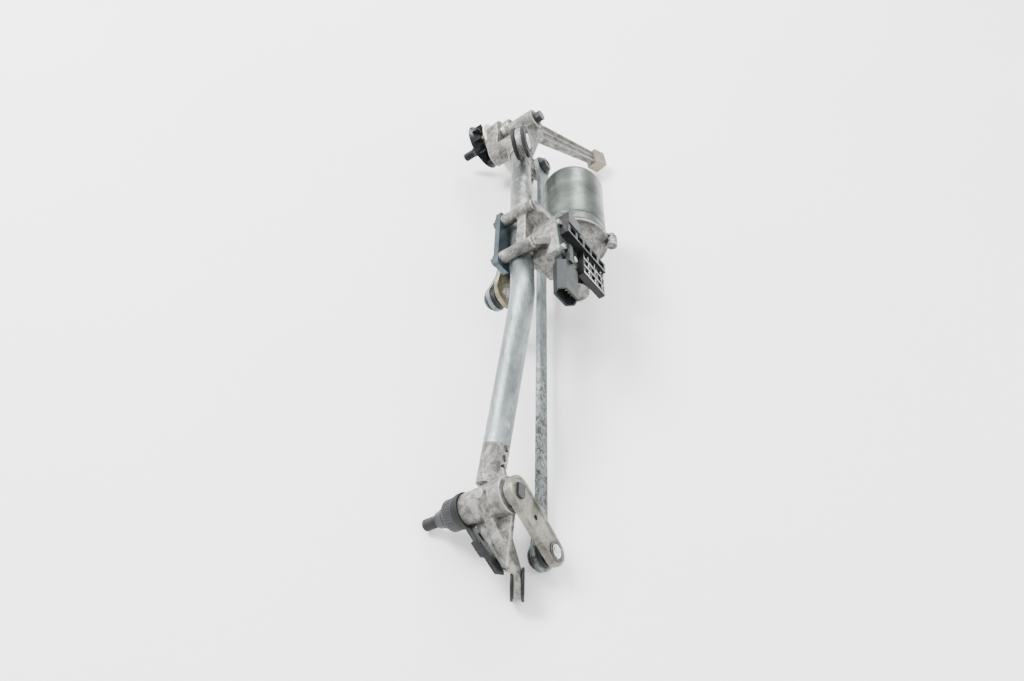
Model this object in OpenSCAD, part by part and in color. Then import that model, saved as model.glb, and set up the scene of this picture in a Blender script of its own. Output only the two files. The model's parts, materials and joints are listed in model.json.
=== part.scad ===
// Windshield wiper linkage with its motor, lying on a bench.
//
// The mechanism is drawn in its own frame, where +Z is the direction of both
// wiper spindles, +Y runs from the lower pivot to the upper pivot, and +X
// points to the side that faces up on the bench. lay_down() turns it onto the
// bench, where it rests on the lower spindle's tip, the lower mount and the
// locating arm. All sizes are in millimetres, angles in degrees.

/* [Placement] */
// Angle at which the spindles lean down from level
lean = 36.5; // [35:0.1:40]
// Angle by which the upper end is raised
raise = 1.5; // [1.3:0.05:3]
// Sideways shift that centres the part on its origin
centre_x = -11.37; // [-60:0.01:60]
// Lengthwise shift that centres the part on its origin
centre_y = -231.00; // [-300:0.01:-150]

/* [Pivots] */
// Distance between the two wiper spindles
pivot_gap = 497; // [480:1:520]
// Spindle length from the lower lever's middle to the threaded tip
tip_z = 90.5; // [86:0.5:96]
// Diameter of the spindle in its bushes
spindle_d = 12; // [11:0.5:12]
// Diameter of the threaded tip
tip_d = 10; // [8:0.5:10]
// Radial running clearance between a spindle and its bushes
run_gap = 0.03; // [0.01:0.01:0.1]

/* [Linkage] */
// Distance from spindle to ball on each lever
lever_r = 55; // [50:1:58]
// Angle of the parked levers below the sideways direction
park_angle = 31.7; // [28:0.1:34]
// Thickness of the levers
lever_t = 5; // [4:0.5:5]
// Width of the levers at the ball
lever_w = 22; // [20:1:24]
// Height of a ball above or below the middle of its lever
ball_rise = 11; // [11:0.5:11.5]
// Diameter of the ball studs
ball_d = 13; // [12:0.5:13]
// Width of the two connecting rods
rod_w = 11; // [10:0.5:12]

/* [Crank] */
// Sideways place of the crank shaft
crank_x = -8; // [-9:0.5:-7]
// Lengthwise place of the crank shaft
crank_y = 258; // [254:1:262]
// Throw of the crank
crank_r = 36; // [33:0.5:37]

/* [Tube] */
// Outside diameter of the main tube
tube_d = 22; // [21:0.5:22]
// Wall of the main tube
tube_wall = 1.5; // [1.2:0.1:2]
// Radius of the bend in the middle of the tube
bend_r = 90; // [60:5:110]

/* [Motor] */
// Outside diameter of the motor can
can_d = 62; // [58:1:64]
// Length of the motor can
can_len = 92; // [88:1:98]
// Centre distance of the worm and its wheel
worm_gap = 26; // [26:0.5:26.5]

/* [Hidden] */

boss_bolt_d = 8;
boss_bolt_len = 18;
grommet_neck_d = 22;
sleeve_d = 16;
up_sleeve_len = 15;
low_neck_d = 16;
low_sleeve_d = 11;
low_screw_d = 6.5;
stud_d = 8;
smooth = 64;            // facets of a round that stays exact
hull_fn = 32;           // facets of a round inside a hull
eps = 0.5;              // how far a cut runs past a face

// How fast the edge of a round that faces along the spindles falls below its centre
edge_drop = norm([cos(lean) * cos(raise), sin(raise)]);
// The rest height puts the rim of the lower threaded tip on the bench.
rest_h = tip_z * sin(lean) * cos(raise) + tip_d / 2 * edge_drop;
// Sideways place of a centre at y and z, for a body that reaches down by drop
// below that centre and just touches the bench.
function touch_x(drop, y, z) =
    (drop - rest_h - y * sin(raise) + z * sin(lean) * cos(raise)) / (cos(lean) * cos(raise));

// Heights of the moving layers along the spindles
low_lever_z = 0;
couple_z = low_lever_z + ball_rise;
up_lever_z = couple_z + ball_rise;
drive_z = up_lever_z + ball_rise;

// Ball places, with the levers parked
ball_x = -lever_r * cos(park_angle);
ball_y = -lever_r * sin(park_angle);
rod_run = [ball_x - crank_x, pivot_gap + ball_y - crank_y];
rod_dir = rod_run / norm(rod_run);
crank_ball = [crank_x, crank_y] - crank_r * rod_dir;
drive_len = norm(rod_run) + crank_r;
drive_turn = atan2(rod_dir[1], rod_dir[0]) - 90;

// Tube route: lower end, bend corner, upper end
tube_low = [5, 44, 18];
tube_mid = [19, 180, -15];
tube_up = [0, 428, 7];

// Barrels of the pivot housings
up_barrel_z = [31, 60];
up_barrel_d = [34, 28];
low_barrel_z = [6, 63];
low_shoulder_z = 51;
low_neck_od = 22;
barrel_d = 25;
bush_d = 15;
bush_len = 9;
out_bush_d = 13;

// Mounts
up_mount = [26, 408];
up_mount_z = -17;
up_mount_t = 7;
up_mount_turn = 18.8;   // angle between the upper mount's hole and the spindles
low_mount_z = 25;
low_mount_len = 11;
low_mount_d = 25;
low_mount_y = -52;
low_mount_t = 6;
// The lower mount's hole is level, so its grommet stands on its rim.
low_mount_x = touch_x(low_mount_d / 2, low_mount_y, low_mount_z);
screw_hole_d = 8.5;
rear_boss = [14, 461];
rear_boss_z = -24;

// Locating arm, from its root to the centre of its cap
arm_root = [2, 463, -10];
cap_y = 502;
cap_z = -35;
cap_size = [16, 18, 17];
cap_back = 11;
cap_reach = 12.34;      // from the cap's centre down to its lowest corner
arm_tip = [touch_x(cap_reach, cap_y, cap_z), cap_y, cap_z];

// Ends of the loom clip, which follows the sloping rib of the lower housing
clip_a = [-5, -6, 48];
clip_b = [-18, -44, 27];

// Gearbox and motor
wheel_z = -38;
wheel_d = 43;
worm_d = 8;
shaft_d = 10;
gear_top = -22;
gear_base = -50;
gear_r = 27.8;
motor_x = crank_x - worm_gap;
can_y = 287;
can_wall = 1.8;
can_end_y = can_y + can_len;
post_x = 30;
post_dy = 26;
post_top = 1.5;
clamp_t = 5.5;
lobe_angles = [118, 298];
lobe_r = can_d / 2 + 5;
crank_plate_z = 19;
crank_plate_t = 4;
crank_nut_t = 3;
crank_top = crank_plate_z + crank_plate_t;
ball_stem_low = crank_top + 3.5;  // foot of the stem under the crank ball
stud_gap = 0.3;

// ---------------------------------------------------------------- helpers

// Turns the mechanism frame onto the bench.
module lay_down() {
    translate([centre_x, centre_y, rest_h])
        rotate([raise, 0, 0]) rotate([0, -(90 + lean), 0]) children();
}

// Moves children, drawn along +Z, so that they start at p and run towards q.
module along(p, q) {
    d = q - p;
    translate(p)
        rotate([0, 0, atan2(d[1], d[0])])
            rotate([0, atan2(norm([d[0], d[1]]), d[2]), 0])
                children();
}

// Cylinder from point p to point q.
module bar(p, q, d, fn = 64) {
    along(p, q) cylinder(d = d, h = norm(q - p), $fn = fn);
}

// Ring with a bore along Z, starting at z.
module ring(z, h, od, id) {
    translate([0, 0, z])
        difference() {
            cylinder(d = od, h = h, $fn = smooth);
            translate([0, 0, -eps]) cylinder(d = id, h = h + 2 * eps, $fn = smooth);
        }
}

// Places children at the upper or lower pivot.
module at_upper() { translate([0, pivot_gap, 0]) children(); }
module at_crank() { translate([crank_x, crank_y, 0]) children(); }
// Places children, drawn along Z about the origin, at a mount's centre.
module at_up_mount() {
    translate([up_mount[0], up_mount[1], up_mount_z + up_mount_t / 2])
        rotate([0, up_mount_turn, 0]) children();
}
module at_low_mount() {
    translate([low_mount_x, low_mount_y, low_mount_z]) rotate([0, lean, 0]) children();
}
// Motor frame: +Z runs along the motor axis, from the gearbox to the can's end.
module at_motor(y = 0) { translate([motor_x, y, wheel_z]) rotate([-90, 0, 0]) children(); }

function unit(v) = v / norm(v);

// Points of a path a-b-c whose corner is rounded with radius r, in equal steps.
function bend_path(a, b, c, r, steps) =
    let (u = unit(a - b), v = unit(c - b), turn = 180 - acos(u * v), leg = r * tan(turn / 2),
         centre = b + unit(u + v) * (r / cos(turn / 2)), x = unit(b + u * leg - centre),
         y = cross(unit(cross(v, u)), x))
    [a, for (k = [0:steps]) centre + r * (cos(turn * k / steps) * x + sin(turn * k / steps) * y), c];

// Hollow round tube along a path that lies in one plane with normal n.
module swept_tube(path, n, od, id, sides) {
    last = len(path) - 1;
    ring_points = function (d) [
        for (i = [0:last])
            let (t = unit(path[min(i + 1, last)] - path[max(i - 1, 0)]), m = cross(n, t))
                for (k = [0:sides - 1])
                    path[i] + d / 2 * (cos(360 * k / sides) * n + sin(360 * k / sides) * m)];
    inner = (last + 1) * sides;
    at = function (i, k) i * sides + k % sides;
    polyhedron(
        points = concat(ring_points(od), ring_points(id)),
        faces = concat(
            [for (i = [0:last - 1], k = [0:sides - 1])
                [at(i, k), at(i, k + 1), at(i + 1, k + 1), at(i + 1, k)]],
            [for (i = [0:last - 1], k = [0:sides - 1])
                [inner + at(i, k), inner + at(i + 1, k), inner + at(i + 1, k + 1),
                 inner + at(i, k + 1)]],
            [for (k = [0:sides - 1])
                [at(0, k), inner + at(0, k), inner + at(0, k + 1), at(0, k + 1)]],
            [for (k = [0:sides - 1])
                [at(last, k), at(last, k + 1), inner + at(last, k + 1), inner + at(last, k)]]));
}

// Outline of a plate that tapers from one round end to another.
module taper_outline(d1, d2, len) {
    hull() {
        circle(d = d1, $fn = hull_fn);
        translate([0, len]) circle(d = d2, $fn = hull_fn);
    }
}

// ------------------------------------------------------------------- tube

module main_tube() lay_down() color("#9aa3a6")
    swept_tube(bend_path(tube_low, tube_mid, tube_up, bend_r, 8),
               unit(cross(tube_low - tube_mid, tube_up - tube_mid)),
               tube_d, tube_d - 2 * tube_wall, 32);

spigot_d = tube_d - 2 * tube_wall - 0.1;
low_dir = unit(tube_low - tube_mid);
up_dir = unit(tube_up - tube_mid);

// ---------------------------------------------------------- pivot housings

// Body that holds the long bore of one spindle, with room for two bushes.
module barrel_bore(zs) {
    translate([0, 0, zs[0] - eps]) cylinder(d = bush_d, h = bush_len + eps, $fn = smooth);
    translate([0, 0, zs[1] - bush_len]) cylinder(d = bush_d, h = bush_len + eps, $fn = smooth);
    translate([0, 0, zs[0]]) cylinder(d = spindle_d + 2, h = zs[1] - zs[0], $fn = smooth);
}

module locating_arm() {
    rib_d = 3;
    arm_w = 17;
    arm_t = 7;
    along(arm_root, arm_tip) {
        len = norm(arm_tip - arm_root);
        hull() {
            translate([-arm_t / 2, -arm_w / 2 - 3, 0]) cube([arm_t + 2, arm_w + 6, 2]);
            translate([-arm_t / 2, -arm_w / 2 + 2, len]) cube([arm_t, arm_w - 4, 2]);
        }
        for (s = [-1, 0, 1])
            bar([arm_t / 2 + 2, s * (arm_w / 2 + 1), 2], [arm_t / 2, s * (arm_w / 2 - 3), len],
                rib_d, 24);
    }
}

// Column of the upper housing, between its barrel and the tube
col = [3, 456];
col_d = 24;
col_low = -18;
neck_rise = [22, 12];   // heights of the neck at the barrel and at the column

module upper_cone() at_upper() translate([0, 0, up_barrel_z[0]])
    cylinder(d1 = up_barrel_d[0], d2 = up_barrel_d[1], h = up_barrel_z[1] - up_barrel_z[0],
             $fn = smooth);

module upper_neck() hull() {
    at_upper() translate([0, 0, up_barrel_z[0]])
        cylinder(d = up_barrel_d[1], h = neck_rise[0], $fn = hull_fn);
    translate([col[0], col[1], up_barrel_z[0]])
        cylinder(d = col_d - 2, h = neck_rise[1], $fn = hull_fn);
}

// Hole and flat faces that a grommet needs in a plate
module grommet_seat(plate_t, od, neck) {
    cylinder(d = neck, h = 30, $fn = smooth, center = true);
    for (s = [0, 1]) mirror([0, 0, s]) translate([0, 0, plate_t / 2])
        cylinder(d = od, h = 8, $fn = smooth);
}

module upper_pivot_housing() lay_down() color("#a9a7a2") {
    difference() {
        union() {
            upper_cone();
            upper_neck();
            translate([col[0], col[1], col_low])
                cylinder(d = col_d, h = up_barrel_z[0] + neck_rise[1] - col_low, $fn = smooth);
            hull() {
                bar(tube_up, tube_up + up_dir * 6, tube_d + 4, hull_fn);
                translate([col[0], col[1], col_low + 4])
                    cylinder(d = col_d - 2, h = 34, $fn = hull_fn);
            }
            bar(tube_up - up_dir * 34, tube_up + up_dir * 6, spigot_d);
            translate([rear_boss[0], rear_boss[1], rear_boss_z])
                cylinder(d = 22, h = 30, $fn = smooth);
            hull() {
                at_up_mount() cylinder(d = 30, h = up_mount_t, $fn = hull_fn, center = true);
                translate([9, 447, up_mount_z]) cylinder(d = 18, h = up_mount_t, $fn = hull_fn);
            }
            locating_arm();
        }
        at_upper() barrel_bore(up_barrel_z);
        translate([rear_boss[0], rear_boss[1], rear_boss_z - eps])
            cylinder(d = boss_bolt_d, h = boss_bolt_len, $fn = smooth);
        at_up_mount() grommet_seat(up_mount_t, 35, grommet_neck_d);
    }
}

// Flange of the web that carries the lower mount
eye_z = low_mount_z - low_mount_t / 2;
module lower_flange() hull() {
    translate([0, 0, eye_z]) cylinder(d = 24, h = low_mount_t, $fn = hull_fn);
    at_low_mount() cylinder(d = 21, h = low_mount_t, $fn = hull_fn, center = true);
}

module lower_pivot_housing() lay_down() color("#adaba6") {
    web_t = 5;
    difference() {
        union() {
            translate([0, 0, low_barrel_z[0]])
                cylinder(d1 = barrel_d + 5, d2 = barrel_d, h = low_shoulder_z - low_barrel_z[0],
                         $fn = smooth);
            translate([0, 0, low_shoulder_z - 1])
                cylinder(d = low_neck_od, h = low_barrel_z[1] - low_shoulder_z + 1, $fn = smooth);
            bar(tube_low + low_dir * 32, tube_low, tube_d);
            bar(tube_low + low_dir, tube_low - low_dir * 34, spigot_d);
            lower_flange();
            // stiffening rib that stands on the flange
            hull() {
                translate([clip_a[0], clip_a[1], low_barrel_z[0]])
                    cylinder(d = web_t, h = clip_a[2] - low_barrel_z[0] - 3, $fn = hull_fn);
                translate([clip_b[0], clip_b[1], eye_z - 2])
                    cylinder(d = web_t, h = clip_b[2] - eye_z, $fn = hull_fn);
            }
            // rib between the barrel and the tube's spigot
            hull() {
                translate([4, 8, low_barrel_z[0] + 1]) cylinder(d = web_t, h = 26, $fn = hull_fn);
                translate([3, 34, 13]) cylinder(d = web_t, h = 12, $fn = hull_fn);
            }
            translate([12, -3, 22]) rotate([0, 90, 0]) cylinder(d = 8, h = 7, $fn = hull_fn);
        }
        barrel_bore(low_barrel_z);
        at_low_mount() grommet_seat(low_mount_t, low_mount_d + 1, low_neck_d);
        // crimp pockets in the spigot
        for (k = [5, 13, 21])
            translate(tube_low + low_dir * k + [0, 0, -15]) cylinder(d = 6, h = 6, $fn = smooth);
    }
}

// ----------------------------------------------------------------- spindles

// Spindle from its rivet end under the lever to the threaded tip.
module spindle(lever_z) {
    foot = lever_z - lever_t / 2 - 2;
    thread_len = 13;
    cone_len = 9;
    knurl_z = tip_z - thread_len - cone_len;
    difference() {
        union() {
            translate([0, 0, foot]) intersection() {
                cylinder(d = spindle_d + 1, h = lever_t + 2, $fn = smooth);
                translate([-4, -spindle_d, 0]) cube([8, 2 * spindle_d, lever_t + 2]);
            }
            translate([0, 0, lever_z + lever_t / 2]) cylinder(d = spindle_d, h = knurl_z - lever_z
                - lever_t / 2, $fn = smooth);
            translate([0, 0, knurl_z])
                cylinder(d1 = spindle_d, d2 = tip_d + 0.6, h = cone_len, $fn = smooth);
            translate([0, 0, tip_z - thread_len - eps])
                cylinder(d = tip_d, h = thread_len + eps, $fn = smooth);
        }
        // circlip groove
        translate([0, 0, clip_z(lever_z)]) ring(0, 1.2, spindle_d + 4, spindle_d - 1);
    }
}
// Circlips sit just above the barrels.
function clip_z(lever_z) = lever_z > couple_z ? up_barrel_z[1] + 1.1 : low_barrel_z[1] + 1.1;

module upper_spindle() lay_down() color("#55585a") at_upper() spindle(up_lever_z);
module lower_spindle() lay_down() color("#55585a") spindle(low_lever_z);

// Flat steel lever with a keyed hole for the spindle and stud holes at the ball.
module lever(z) {
    hub_w = lever_w + 3;
    translate([0, 0, z - lever_t / 2]) rotate([0, 0, 90 + park_angle])
        difference() {
            linear_extrude(lever_t) difference() {
                taper_outline(hub_w, lever_w, lever_r);
                translate([0, 24]) circle(d = 4.5, $fn = hull_fn);
            }
            rotate([0, 0, -90 - park_angle]) translate([0, 0, -eps]) intersection() {
                cylinder(d = spindle_d + 1, h = lever_t + 2 * eps, $fn = smooth);
                translate([-4, -spindle_d, 0]) cube([8, 2 * spindle_d, lever_t + 2 * eps]);
            }
            translate([0, lever_r, -eps]) cylinder(d = stud_d, h = lever_t + 2 * eps, $fn = smooth);
        }
}
module upper_lever() lay_down() color("#b4b2ab") at_upper() lever(up_lever_z);
module lower_lever() lay_down() color("#b4b2ab") lever(low_lever_z);

// Ball studs: a riveted stem, a flange against the lever and the ball.
module ball_stud(plate_z, dir, flange_gap = 0, stem = true) {
    top = ball_rise - lever_t / 2;
    mirror([0, 0, dir < 0 ? 1 : 0]) {
        if (stem) {
            translate([0, 0, -lever_t / 2]) cylinder(d = stud_d, h = lever_t, $fn = smooth);
        }
        translate([0, 0, lever_t / 2 + flange_gap])
            cylinder(d = 13, h = 1.5 - flange_gap, $fn = smooth);
        translate([0, 0, lever_t / 2 + 1]) cylinder(d = 8, h = top - 1, $fn = smooth);
        translate([0, 0, ball_rise]) sphere(d = ball_d, $fn = smooth);
    }
}

module upper_lever_balls() lay_down() color("#c9c8c2") {
    translate([ball_x, pivot_gap + ball_y, up_lever_z]) {
        ball_stud(up_lever_z, 1);
        ball_stud(up_lever_z, -1);
    }
}
module lower_lever_ball() lay_down() color("#c9c8c2") {
    translate([ball_x, ball_y, low_lever_z]) {
        ball_stud(low_lever_z, 1);
        // riveted head on the free face
        translate([0, 0, -lever_t / 2 - 1.2]) cylinder(d = stud_d + 3, h = 1.2, $fn = smooth);
    }
}

module bush_pair(zs) {
    for (z = [zs[0], zs[1] - bush_len]) ring(z, bush_len, bush_d, spindle_d + 2 * run_gap);
}
module upper_bushes() lay_down() color("#8d7a55") at_upper() bush_pair(up_barrel_z);
module lower_bushes() lay_down() color("#8d7a55") bush_pair(low_barrel_z);

module circlip(lever_z) {
    translate([0, 0, clip_z(lever_z)]) difference() {
        ring(0, 1, spindle_d + 5, spindle_d - 1);
        translate([0, -1.5, -eps]) cube([spindle_d, 3, 1 + 2 * eps]);
    }
}
module upper_circlip() lay_down() color("#3b3d3f") at_upper() circlip(up_lever_z);
module lower_circlip() lay_down() color("#3b3d3f") circlip(low_lever_z);

module upper_thrust_washer() lay_down() color("#77797a") at_upper()
    ring(up_lever_z + lever_t / 2, up_barrel_z[0] - up_lever_z - lever_t / 2 - 0.3, 20,
         spindle_d);
module lower_thrust_washer() lay_down() color("#77797a")
    ring(low_lever_z + lever_t / 2, low_barrel_z[0] - low_lever_z - lever_t / 2 - 0.3, 20,
         spindle_d);

// ------------------------------------------------------- pivot trim and nuts

// Dished black cap with fins on its back, open towards the threaded tip.
module upper_splash_cap() lay_down() color("#202223") {
    rim_d = 55;
    cap_h = 9;
    floor_t = 3;
    z0 = up_barrel_z[1] - 5;
    difference() {
        at_upper() {
            translate([0, 0, z0]) cylinder(d1 = 34, d2 = rim_d, h = cap_h, $fn = smooth);
            for (k = [0:9]) rotate([0, 0, 36 * k]) translate([15, -0.9, z0 - 2.5])
                cube([9.5, 1.8, cap_h]);
        }
        at_upper() translate([0, 0, z0 + floor_t])
            cylinder(d1 = 31, d2 = rim_d - 4, h = cap_h - floor_t + eps, $fn = smooth);
        upper_cone();
    }
}

module upper_gasket() lay_down() color("#e6e0cf") difference() {
    translate([0, 0, up_barrel_z[1] - 14]) linear_extrude(2) hull() {
        translate([0, pivot_gap]) circle(d = 42, $fn = hull_fn);
        translate([-31, pivot_gap - 12]) circle(d = 28, $fn = hull_fn);
    }
    upper_cone();
    upper_neck();
    translate([col[0], col[1], up_barrel_z[0]]) cylinder(d = col_d + 1, h = 30, $fn = smooth);
}

module lower_seal() lay_down() color("#1c1d1e") {
    ring(low_shoulder_z - 4, 4, 31, barrel_d + 1.4);
    ring(low_shoulder_z, 3, 31, low_neck_od);
}

module lower_ring_nut() lay_down() color("#26282a") {
    z0 = low_shoulder_z + 3;
    difference() {
        ring(z0, 10, 26, low_neck_od);
        for (k = [0:29]) rotate([0, 0, 12 * k])
            translate([12.2, -0.7, z0 + 2]) cube([2, 1.4, 9]);
    }
}

// Stepped sleeve that turns with the spindle.
module lower_collar() lay_down() color("#303335") {
    z0 = low_barrel_z[1] + 2.6;
    difference() {
        union() {
            translate([0, 0, z0]) cylinder(d = 18, h = 3, $fn = smooth);
            translate([0, 0, z0 + 3]) cylinder(d1 = 16.5, d2 = 13.5, h = 7, $fn = smooth);
        }
        translate([0, 0, z0 - eps]) cylinder(d = spindle_d, h = 12, $fn = smooth);
    }
}

// ------------------------------------------------------------------ mounts

// Rubber grommet about the origin, with a groove that holds the plate's edge.
module grommet(plate_t, od, neck, bore, len) {
    lip = (len - plate_t) / 2;
    ring(-len / 2, lip, od, bore);
    ring(-len / 2, len, neck, bore);
    ring(plate_t / 2, lip, od, bore);
}
module upper_mount_grommet() lay_down() color("#222425")
    at_up_mount() grommet(up_mount_t, 34, grommet_neck_d, sleeve_d, up_sleeve_len);
module upper_mount_sleeve() lay_down() color("#d6d8d8")
    at_up_mount() ring(-up_sleeve_len / 2 - 0.5, up_sleeve_len + 1, sleeve_d, screw_hole_d);
module lower_mount_grommet() lay_down() color("#222425")
    at_low_mount() grommet(low_mount_t, low_mount_d, low_neck_d, low_sleeve_d, low_mount_len);
module lower_mount_sleeve() lay_down() color("#d6d8d8")
    at_low_mount() ring(-low_mount_len / 2, low_mount_len, low_sleeve_d, low_screw_d);

module hex_bolt(d, len, head_d, head_h) {
    cylinder(d = d, h = len, $fn = smooth);
    translate([0, 0, -head_h]) cylinder(d = head_d, h = head_h, $fn = 6);
    cylinder(d = head_d * 1.2, h = 1.2, $fn = smooth);
}
module rear_boss_bolt() lay_down() color("#3a4043")
    translate([rear_boss[0], rear_boss[1], rear_boss_z - 1.2])
        hex_bolt(boss_bolt_d, boss_bolt_len - 2, 13, 6);

// Plastic cap pressed over the locating arm's end
module locating_arm_cap() lay_down() color("#9a9282")
    difference() {
        along(arm_tip, arm_tip + (arm_tip - arm_root))
            translate([-cap_size[0] / 2, -cap_size[1] / 2, -cap_back]) cube(cap_size);
        locating_arm();
    }

// Black clip that holds the wiring loom beside the lower pivot
module lower_clip_bracket() lay_down() color("#1b1d1e") difference() {
    along(clip_a, clip_b) difference() {
        union() {
            translate([-4.5, -7, 6]) cube([3.5, 14, 44]);
            translate([-7, 3, 18]) cube([3, 4, 14]);
        }
        for (z = [12, 38]) translate([-6, -3, z]) cube([8, 3, 8]);
        translate([-8, 4.5, 22]) cube([8, 1.2, 6]);
    }
    translate([0, 0, low_shoulder_z - 5]) cylinder(d = 33, h = 20, $fn = smooth);
    lower_flange();
}

// ----------------------------------------------------------------- gearbox

module clamp_plate() lay_down() color("#7f98a3")
    difference() {
        translate([0, crank_y, post_top]) linear_extrude(clamp_t)
            hull() {
                for (x = [post_x - 8, post_x + 2], y = [-33, 33])
                    translate([x, y]) circle(d = 8, $fn = hull_fn);
            }
        bar(tube_mid + up_dir * 20, tube_mid + up_dir * 160, tube_d);
        for (s = [-1, 1]) translate([post_x, crank_y + s * post_dy, post_top - eps])
            cylinder(d = 6.4, h = clamp_t + 2 * eps, $fn = smooth);
    }

module clamp_screws() lay_down() color("#8c9296")
    for (s = [-1, 1]) translate([post_x, crank_y + s * post_dy, post_top]) {
        translate([0, 0, -14]) cylinder(d = 6, h = 14 + clamp_t, $fn = smooth);
        translate([0, 0, clamp_t]) cylinder(d = 12, h = 1.2, $fn = smooth);
        translate([0, 0, clamp_t + 1.2]) cylinder(d = 9, h = 3.5, $fn = 6);
    }

// Outline of the gear case: round over the wheel, with a nose for the plug.
module gear_outline(grow) {
    hull() {
        translate([crank_x, crank_y]) circle(r = gear_r + grow, $fn = smooth);
        for (x = [-10, 10]) translate([x, 229]) circle(r = 5 + grow, $fn = hull_fn);
    }
}

// Bell and flange under the motor can
bell_len = 22;
module motor_bell(grow = 0) {
    at_motor(can_y - bell_len - grow)
        cylinder(d1 = 30 + 2 * grow, d2 = can_d - 4 + 2 * grow, h = bell_len - 3 + grow, $fn = smooth);
    at_motor(can_y - 3 - grow) cylinder(d = can_d + 4 + 2 * grow, h = 3 + grow, $fn = smooth);
}

module gearbox_housing() lay_down() color("#a7a8a4") {
    wall = 3;
    neck_d = 17;
    worm_len = 70;
    difference() {
        union() {
            translate([0, 0, gear_base]) linear_extrude(gear_top - gear_base) gear_outline(0);
            at_crank() translate([0, 0, gear_top - 1])
                cylinder(d = neck_d, h = crank_plate_z - gear_top - 1, $fn = smooth);
            // worm chamber along the motor axis
            at_motor(can_y - worm_len) cylinder(d = 24, h = worm_len, $fn = smooth);
            motor_bell();
            for (a = lobe_angles) at_motor(can_y - 9) rotate([0, 0, a])
                translate([lobe_r, 0, 0]) cylinder(d = 11, h = 9, $fn = smooth);
            // posts that carry the clamp plate, with webs to the gear case
            for (s = [-1, 1]) {
                translate([post_x, crank_y + s * post_dy, gear_top - 12])
                    cylinder(d = 12, h = post_top - gear_top + 12, $fn = smooth);
                hull() {
                    translate([post_x, crank_y + s * post_dy, gear_top - 14])
                        cylinder(d = 8, h = 18, $fn = hull_fn);
                    translate([post_x - 20, crank_y + s * 12, gear_base + 4])
                        cylinder(d = 8, h = 22, $fn = hull_fn);
                }
            }
            // saddle under the tube
            translate([-6, crank_y - 24, gear_top - 2]) cube([36, 48, 10]);
        }
        // groove for the tube
        bar(tube_mid + up_dir * 20, tube_mid + up_dir * 160, tube_d);
        // gear chamber, worm chamber and the motor's spigot
        at_crank() translate([0, 0, gear_base - eps])
            cylinder(r = gear_r - wall - 2, h = 20 + eps, $fn = smooth);
        at_motor(can_y - worm_len + wall) cylinder(d = 17, h = worm_len, $fn = smooth);
        at_motor(can_y - 8) cylinder(d = 44, h = 9, $fn = smooth);
        // output bore and screw holes
        at_crank() translate([0, 0, gear_base]) cylinder(d = out_bush_d, h = 100, $fn = smooth);
        for (s = [-1, 1]) translate([post_x, crank_y + s * post_dy, post_top - 14])
            cylinder(d = 6, h = 20, $fn = smooth);
        for (a = lobe_angles) at_motor(can_y - 8) rotate([0, 0, a])
            translate([lobe_r, 0, 0]) cylinder(d = 5, h = 9, $fn = smooth);
        for (p = cover_holes) translate([p[0], p[1], gear_base - eps])
            cylinder(d = 3, h = 6 + eps, $fn = smooth);
    }
}

cover_t = 2;
cover_holes = [[17.2, 258], [2.2, 281], [10, 231], [-8, 229.5]];
module gearbox_cover() lay_down() color("#8f9a94") difference() {
    translate([0, 0, gear_base - cover_t]) linear_extrude(cover_t) gear_outline(1);
    for (p = cover_holes) translate([p[0], p[1], gear_base - cover_t - eps])
        cylinder(d = 3.2, h = cover_t + 2 * eps, $fn = smooth);
    motor_bell(0.2);
}
module cover_screws() lay_down() color("#b9bcbc")
    for (p = cover_holes) translate([p[0], p[1], gear_base - cover_t]) {
        cylinder(d = 3, h = 7, $fn = smooth);
        translate([0, 0, -2.4]) cylinder(d = 6, h = 2.4, $fn = smooth);
    }

// -------------------------------------------------------------------- motor

module motor_can() lay_down() color("#8d938f") {
    crown = 6;
    at_motor(can_y) difference() {
        union() {
            cylinder(d = can_d, h = can_len - crown, $fn = 96);
            translate([0, 0, can_len - crown])
                cylinder(d1 = can_d, d2 = can_d - 10, h = crown, $fn = 96);
            cylinder(d = can_d + 4, h = 2, $fn = 96);
            for (a = lobe_angles) rotate([0, 0, a]) {
                translate([can_d / 2 - 0.5, -4.8, 0]) cube([6, 9.6, 2.6]);
                translate([lobe_r, 0, 0]) cylinder(d = 11, h = 2.6, $fn = smooth);
            }
        }
        translate([0, 0, -eps]) cylinder(d = can_d - 2 * can_wall, h = can_len - crown + eps,
                                         $fn = 96);
        for (a = lobe_angles) rotate([0, 0, a]) translate([lobe_r, 0, -eps])
            cylinder(d = 5.2, h = 5, $fn = smooth);
    }
}
module can_screws() lay_down() color("#9da1a1")
    at_motor(can_y) for (a = lobe_angles) rotate([0, 0, a]) translate([lobe_r, 0, 0]) {
        translate([0, 0, -8]) cylinder(d = 5, h = 11, $fn = smooth);
        translate([0, 0, 2.6]) cylinder(d = 9, h = 3.5, $fn = 6);
    }

module magnets() lay_down() color("#3a3836") {
    in_r = can_d / 2 - can_wall;
    at_motor(can_y + 22) for (a = [0:90:270]) rotate([0, 0, a + 10])
        rotate_extrude(angle = 70, $fn = smooth) translate([in_r - 6, 0]) square([6, 50]);
}

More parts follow.
